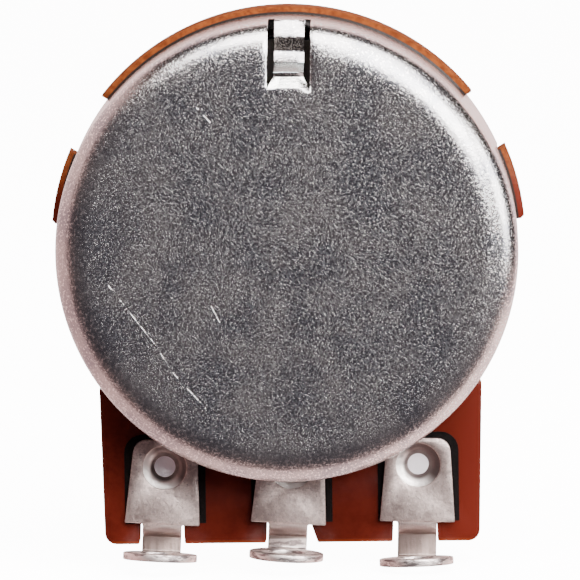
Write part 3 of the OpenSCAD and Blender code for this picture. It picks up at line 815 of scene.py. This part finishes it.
def can_steel():
    """Plated sheet steel, grainy and scratched, with painted shade and highlight on the pressed strip
    and painted shade in the slits.
    """
    m = Nodes("can_steel_plated", (0.60, 0.59, 0.60), 0.25, 1.0)
    blotch = m.noise(0.35, 5.0, 0.6)
    grain = m.ramp(m.noise(8.0, 3.0, 0.6), 0.0, 1.0, 0.46, 0.68)
    fine = m.noise(18.0, 2.0, 0.5)
    base = m.mix(m.ramp(blotch, 0.0, 1.0), (0.36, 0.36, 0.39), (0.60, 0.575, 0.57))
    base = m.mix(m.ramp(grain, 0.0, 1.0), base, (0.88, 0.85, 0.845))
    x, y, z = m.split(m.mm)
    lean = m.times(z, math.tan(math.radians(BRIDGE_A)))
    aside = m.math("ABSOLUTE", m.math("SUBTRACT", x, lean))
    strip = m.math("LESS_THAN", aside, STRIP_HALF + 0.01)
    window = m.math("LESS_THAN", aside, WINDOW_HALF + 0.01)
    rise_end = CREASE_R + 0.2
    slope_start = CREASE_R - 0.02
    # The strip's floor, its steep rise, its crease and the slope up to the rear face, in painted shade
    # and highlight: floor and crease darker, rise grey, slope paler
    for part, low, high, shade in ((strip, FLOOR_R + 0.05, FLOOR_OUT_R, (0.16, 0.14, 0.13)),
                                   (strip, rise_end, STEP_R, (0.50, 0.56, 0.57)),
                                   (strip, slope_start, rise_end, (0.07, 0.06, 0.06)),
                                   (window, SLIT_END_R, slope_start, (0.90, 0.90, 0.88))):
        base = m.mix(m.times(part, m.within(z, low, high)), base, shade)
    broken = m.ramp(m.noise(2.5, 3.0, 0.6), 0.0, 1.0, 0.42, 0.60)
    scratches = [m.times(m.stroke(x, z, *line), broken) for line in SCRATCHES]
    for scratch in scratches:
        base = m.mix(scratch, base, (1.0, 0.97, 0.95))
    # Painted shade: the slits' bottom faces beside the strip are painted near black.
    slit_shade_zone = m.times(m.within(z, CAN_R - 0.75, CAN_R + 0.1), m.within(y, -7.3, -5.7))
    cut = m.times(m.within(aside, STRIP_HALF + 0.02, WINDOW_HALF + 0.01), slit_shade_zone)
    m.colour(m.mix(cut, base, (0.012, 0.011, 0.011)))
    m.roughness(m.ramp(fine, 0.14, 0.28))
    m.bump(grain, 0.0037)
    m.bump(fine, 0.003)
    m.bump(m.noise(1.0, 4.0, 0.6, (0.25, 7.0, 0.25)), 0.012)
    for scratch in scratches:
        m.bump(scratch, -0.009)
    return m.material


def phenolic():
    """Red-brown board with paler cut edges, painted light on its upper lips and its right side, and a
    painted shadow line beside the can.
    """
    m = Nodes("phenolic_board", (0.30, 0.05, 0.015), 0.22)
    cloud = m.noise(0.25, 4.0, 0.6)
    fibre = m.noise(2.2, 5.0, 0.65)
    face = m.mix(m.ramp(cloud, 0.0, 1.0), (0.052, 0.0055, 0.003), (0.076, 0.009, 0.005))
    face = m.mix(m.ramp(fibre, 0.0, 0.4), face, (0.095, 0.013, 0.007))
    x, y, z = m.split(m.mm)
    # Painted light: the board is painted lighter towards the right, where the key light falls on it.
    face = m.mix(m.ramp(x, 0.0, 1.0, 3.0, 10.0), face, (0.100, 0.0125, 0.007))
    side = m.noise(3.0, 4.0, 0.6, (1.0, 6.0, 1.0))
    edge = m.mix(m.ramp(side, 0.0, 1.0), (0.095, 0.019, 0.0035), (0.19, 0.047, 0.009))
    normal = m.add("ShaderNodeNewGeometry").outputs["True Normal"]
    facing = m.math("ABSOLUTE", m.split(normal)["Y"])
    from_axis = m.distance(x, z)
    lip_start = CAN_R + 0.11
    # Painted light: the lips round the can are painted paler towards the top, where light falls from
    # above.
    lip = m.times(m.within(from_axis, lip_start, CAN_R + 1), m.ramp(z, 0.0, 1.0, 2.0, 6.0))
    tail_edge = m.ramp(z, 0.6, 0.0, TAIL_BOTTOM + 0.02, TAIL_BOTTOM + 0.22)
    face = m.mix(tail_edge, face, (0.24, 0.045, 0.010))
    face = m.mix(lip, face, edge)
    # Painted shadow: a dark ring in the gap between the can's rim and the lips.
    face = m.mix(m.within(from_axis, CAN_R - 0.1, lip_start), face, (0.02, 0.015, 0.013))
    rough = m.math("MAXIMUM", m.ramp(facing, 1.0, 0.0, 0.3, 0.9), lip)
    m.colour(m.mix(rough, face, edge))
    m.roughness(m.ramp(rough, 0.24, 0.9, 0.0, 1.0))
    m.set("Specular IOR Level", 0.15)
    m.bump(fibre, 0.01)
    return m.material


def terminal_tin():
    """Dull tin plating, with painted highlight and shade in the rivets' dishes and their floors
    painted pale, as if lit.
    """
    m = Nodes("terminal_tin_dull", (0.80, 0.72, 0.69), 0.45, 1.0)
    blotch = m.noise(1.6, 5.0, 0.7, distortion=0.4)
    fine = m.noise(10.0, 3.0, 0.6)
    specks = m.noise(5.0, 4.0, 0.7)
    base = m.mix(m.ramp(blotch, 0.0, 1.0, 0.40, 0.58), (0.46, 0.36, 0.335), (0.71, 0.57, 0.53))
    base = m.mix(m.ramp(fine, 0.0, 0.5, 0.42, 0.60), base, (0.42, 0.345, 0.325))
    base = m.mix(m.ramp(specks, 0.0, 0.8, 0.58, 0.68), base, (0.24, 0.20, 0.19))
    x, y, z = m.split(m.mm)
    base = tin_stem(m, y, z, base)
    nearest = m.times(m.math("ROUND", m.math("DIVIDE", x, PITCH)), PITCH)
    across = m.math("SUBTRACT", x, nearest)
    up = m.math("SUBTRACT", z, RIVET_Y)
    from_rivet = m.math("MAXIMUM", m.distance(across, up), 0.01)
    # Painted highlight and shade: each dish is painted bright at its lower left, dark at its upper
    # right and dark in its inner ring.
    low_left = m.math("ADD", m.times(across, -0.75), m.times(up, -0.66))
    lit = m.ramp(m.math("DIVIDE", low_left, from_rivet), 0.0, 1.0, -0.35, 0.45)
    rim = m.mix(lit, (0.17, 0.135, 0.13), (1.0, 0.93, 0.89))
    dish = m.mix(m.ramp(from_rivet, 0.0, 1.0, 0.66, 0.86), (0.20, 0.165, 0.155), rim)
    floor_r = BORE_R - 0.02
    base = m.mix(m.within(from_rivet, floor_r, FLARE_R - 0.015), base, dish)
    # Painted light: the rivets' floors are painted near white so that they read lit in their recess.
    floor = m.math("LESS_THAN", from_rivet, floor_r)
    m.colour(m.mix(floor, base, (1.0, 0.95, 0.98)))
    m.roughness(m.math("ADD", m.ramp(fine, 0.36, 0.52), m.times(floor, 0.3)))
    m.bump(fine, 0.008)
    m.bump(m.noise(3.0, 3.0, 0.5), 0.014)
    return m.material


def tin_stem(m, y, z, base):
    """The tin's colour with painted shade and light on the stems and dark and light bands on the lugs
    laid over it.
    """
    # Painted shade: the stems below their step are painted darker, graded from the lug up to the step,
    # and the step itself is painted lighter.
    streaks = m.noise(4.0, 3.0, 0.6, (1.0, 1.0, 0.1))
    low = m.mix(m.ramp(streaks, 0.0, 1.0), (0.23, 0.18, 0.165), (0.36, 0.29, 0.265))
    plate_end = RIVET_Y - PLATE_LOW
    joggle_end = plate_end - JOGGLE_LOW
    shade = m.mix(m.ramp(z, 0.0, 1.0, RIVET_Y - LUG_DROP + 0.2, joggle_end), low, (0.28, 0.225, 0.205))
    base = m.mix(m.ramp(z, 1.0, 0.0, plate_end - 0.1, plate_end), base, (0.50, 0.42, 0.395))
    base = m.mix(m.ramp(z, 1.0, 0.0, joggle_end - 0.14, joggle_end), base, shade)
    bands = m.ramp(m.noise(1.3, 4.0, 0.65, (1.0, 1.0, 4.0)), 0.0, 1.0, 0.42, 0.56)
    lug = m.mix(bands, (0.24, 0.205, 0.205), (0.86, 0.76, 0.73))
    rearwards = m.ramp(y, 1.0, 0.0, LUG_START - 0.2, LUG_START)
    return m.mix(m.times(rearwards, m.math("LESS_THAN", z, joggle_end - 0.3)), base, lug)


def brass(name, colour, dull):
    """Turned brass, with fine lines round its axis."""
    m = Nodes(name, colour, 0.3, 1.0)
    turned_lines = m.noise(3.0, 4.0, 0.6, (0.4, 9.0, 0.4))
    blotch = m.noise(0.5, 4.0, 0.6)
    m.colour(m.mix(m.ramp(blotch, 0.0, 1.0), colour, dull))
    m.roughness(m.ramp(turned_lines, 0.22, 0.40))
    m.bump(turned_lines, 0.006)
    return m.material


def plain_metal(name, colour, dull):
    """Stamped metal, blotched between two colours."""
    rough = 0.34
    m = Nodes(name, colour, rough, 1.0)
    blotch = m.noise(0.6, 4.0, 0.6)
    fine = m.noise(7.0, 3.0, 0.6)
    m.colour(m.mix(m.ramp(blotch, 0.0, 1.0), colour, dull))
    m.roughness(m.ramp(fine, rough - 0.08, rough + 0.12))
    m.bump(fine, 0.008)
    return m.material


def black_print(name):
    """Matt black ink."""
    m = Nodes(name, (0.006, 0.0055, 0.006), 0.5)
    m.set("Specular IOR Level", 0.06)
    fine = m.noise(12.0, 3.0, 0.6)
    m.colour(m.mix(m.ramp(fine, 0.0, 1.0), (0.003, 0.0022, 0.0022), (0.008, 0.006, 0.006)))
    m.roughness(m.ramp(fine, 0.65, 0.8))
    m.bump(fine, 0.004)
    return m.material


def moulding():
    """Dark moulded phenolic."""
    m = Nodes("rotor_phenolic", (0.03, 0.022, 0.018), 0.42)
    cloud = m.noise(0.8, 4.0, 0.6)
    fine = m.noise(8.0, 3.0, 0.6)
    m.colour(m.mix(m.ramp(cloud, 0.0, 1.0), (0.020, 0.014, 0.011), (0.045, 0.032, 0.024)))
    m.roughness(m.ramp(fine, 0.36, 0.55))
    m.bump(fine, 0.01)
    return m.material


def dress(node, material):
    """Gives a CAD node's own mesh a material."""
    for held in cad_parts[node].material_slots:
        held.material = material


# Scene

def make_floor():
    """A white floor that only the camera sees, so the metal mirrors the studio and not it."""
    size, level = 1.6, cad_low.z - 0.0001
    mesh = bpy.data.meshes.new("floor")
    mesh.from_pydata([(-size, -size, level), (size, -size, level), (size, size, level),
                      (-size, size, level)], [], [(0, 1, 2, 3)])
    m = Nodes("floor_white", (0.90, 0.90, 0.90), 0.8)
    m.set("Emission Color", (1, 1, 1, 1))
    m.set("Emission Strength", FLOOR_GLOW)
    mesh.materials.append(m.material)
    floor = bpy.data.objects.new("floor", mesh)
    bpy.context.scene.collection.objects.link(floor)
    floor.visible_glossy = False
    floor.visible_diffuse = False


def make_world():
    """White surroundings with a dark cone on the camera's side, so that flat metal reads dark.

    A dark band round the cone draws the line between the can's wall and its highlight.
    """
    world = bpy.data.worlds.new("studio")
    bpy.context.scene.world = world
    world.use_nodes = True
    world.node_tree.nodes.clear()
    t = Tree(world.node_tree)
    place = t.add("ShaderNodeTexCoord").outputs["Generated"]

    def facing(direction, low, high, smooth=True):
        """0 to 1 as the dot product with a direction goes from low to high."""
        dot = t.add("ShaderNodeVectorMath", operation="DOT_PRODUCT")
        dot.inputs[1].default_value = Vector(direction).normalized()
        t.feed(place, dot.inputs[0])
        return t.ramp(dot.outputs["Value"], 0.0, 1.0, low, high, smooth)

    cone = t.add("ShaderNodeValToRGB")
    t.feed(facing(DARK_CONE, 0.0, 1.0, smooth=False), cone.inputs[0])
    stops = cone.color_ramp.elements
    stops[0].position, stops[0].color = WORLD_STOPS[0][0], (*WORLD_STOPS[0][1], 1)
    stops[1].position, stops[1].color = WORLD_STOPS[-1][0], (*WORLD_STOPS[-1][1], 1)
    for position, colour in WORLD_STOPS[1:-1]:
        stops.new(position).color = (*colour, 1)
    tint = t.mix(facing(BRIGHT_SIDE, -1.0, 1.0, smooth=False), DIM_TINT, BRIGHT_TINT)
    tinted = t.mix(1.0, cone.outputs[0], tint, "MULTIPLY")
    cone_back = [-c for c in DARK_CONE]
    band = t.times(facing(DARK_CONE, -0.40, -0.18), facing(cone_back, -0.46, -0.38))
    shade = t.mix(t.times(band, facing(BAND_SIDE, 0.0, 0.35)), tinted, BAND_COLOUR)

    lit = t.add("ShaderNodeBackground")
    t.feed(shade, lit.inputs["Color"])
    seen = t.add("ShaderNodeBackground")
    seen.inputs["Color"].default_value = (1, 1, 1, 1)
    seen.inputs["Strength"].default_value = BACKDROP
    choose = t.add("ShaderNodeMixShader")
    t.feed(t.add("ShaderNodeLightPath").outputs["Is Camera Ray"], choose.inputs[0])
    t.feed(lit.outputs[0], choose.inputs[1])
    t.feed(seen.outputs[0], choose.inputs[2])
    t.feed(choose.outputs[0], t.add("ShaderNodeOutputWorld").inputs[0])


def area_light(name, direction, width, height, power, colour):
    """A soft oval light that looks at the part from a direction."""
    data = bpy.data.lights.new(name, "AREA")
    data.shape = "ELLIPSE"
    data.size = width
    data.size_y = height
    data.energy = power
    data.color = colour
    light = bpy.data.objects.new(name, data)
    bpy.context.scene.collection.objects.link(light)
    towards = Vector(direction).normalized()
    light.location = towards * LIGHT_DISTANCE
    light.rotation_mode = "QUATERNION"
    light.rotation_quaternion = (-towards).to_track_quat("-Z", "Y")


def make_camera():
    """The photograph's view: from behind, a little above the axis and from the right."""
    azimuth, elevation, roll = (math.radians(a) for a in (1.2, 6.8, -0.8))
    distance = 0.46
    pixels_per_mm = 19.32      # at the can's rear edge
    picture_width = 580
    aim_right, aim_down = 0.144, 1.955      # millimetres from the axis, in the picture's plane
    back = Vector((math.sin(azimuth) * math.cos(elevation),
                   -math.cos(azimuth) * math.cos(elevation), math.sin(elevation)))
    data = bpy.data.cameras.new("camera")
    data.sensor_width = 36
    data.lens = pixels_per_mm * distance / MM * data.sensor_width / picture_width
    data.clip_start, data.clip_end = 0.01, 10
    camera = bpy.data.objects.new("camera", data)
    bpy.context.scene.collection.objects.link(camera)
    camera.rotation_mode = "QUATERNION"
    aimed = (-back).to_track_quat("-Z", "Y")
    right, up = aimed @ Vector((1, 0, 0)), aimed @ Vector((0, 1, 0))
    target = Vector((0, -WALL_END * MM, 0)) + right * aim_right * MM - up * aim_down * MM
    camera.location = target + back * distance
    camera.rotation_quaternion = aimed @ Quaternion((0, 0, 1), roll)
    bpy.context.scene.camera = camera


make_can(can_steel())
make_wafer(phenolic())
tin = terminal_tin()
for terminal in TERMINALS:
    make_terminal(*terminal, tin)
make_bushing(brass("bushing_turned", (0.56, 0.38, 0.14), (0.42, 0.27, 0.10)))
softened("shaft", "shaft_turned",
         brass("shaft_turned", (0.60, 0.42, 0.17), (0.46, 0.31, 0.12)), "rotor")
softened("front_plate", "front_plate_stamped",
         plain_metal("plate_steel_plated", (0.38, 0.38, 0.39), (0.27, 0.27, 0.28)), "housing")
softened("retaining_ring", "retaining_ring_stamped",
         plain_metal("clip_steel_bare", (0.45, 0.45, 0.46), (0.34, 0.34, 0.35)), "rotor", 0.04)
softened("rotor", "rotor_moulded", moulding(), "rotor")
dress("carbon_track", black_print("carbon_ink"))
dress("centre_print", black_print("centre_ink"))
dress("collector_ring", plain_metal("collector_silvered", (0.70, 0.68, 0.62), (0.58, 0.55, 0.50)))
dress("contact_spring", plain_metal("spring_bronze_bright", (0.72, 0.50, 0.30), (0.60, 0.40, 0.24)))

make_floor()
make_world()
for light in LIGHTS:
    area_light(*light)
make_camera()
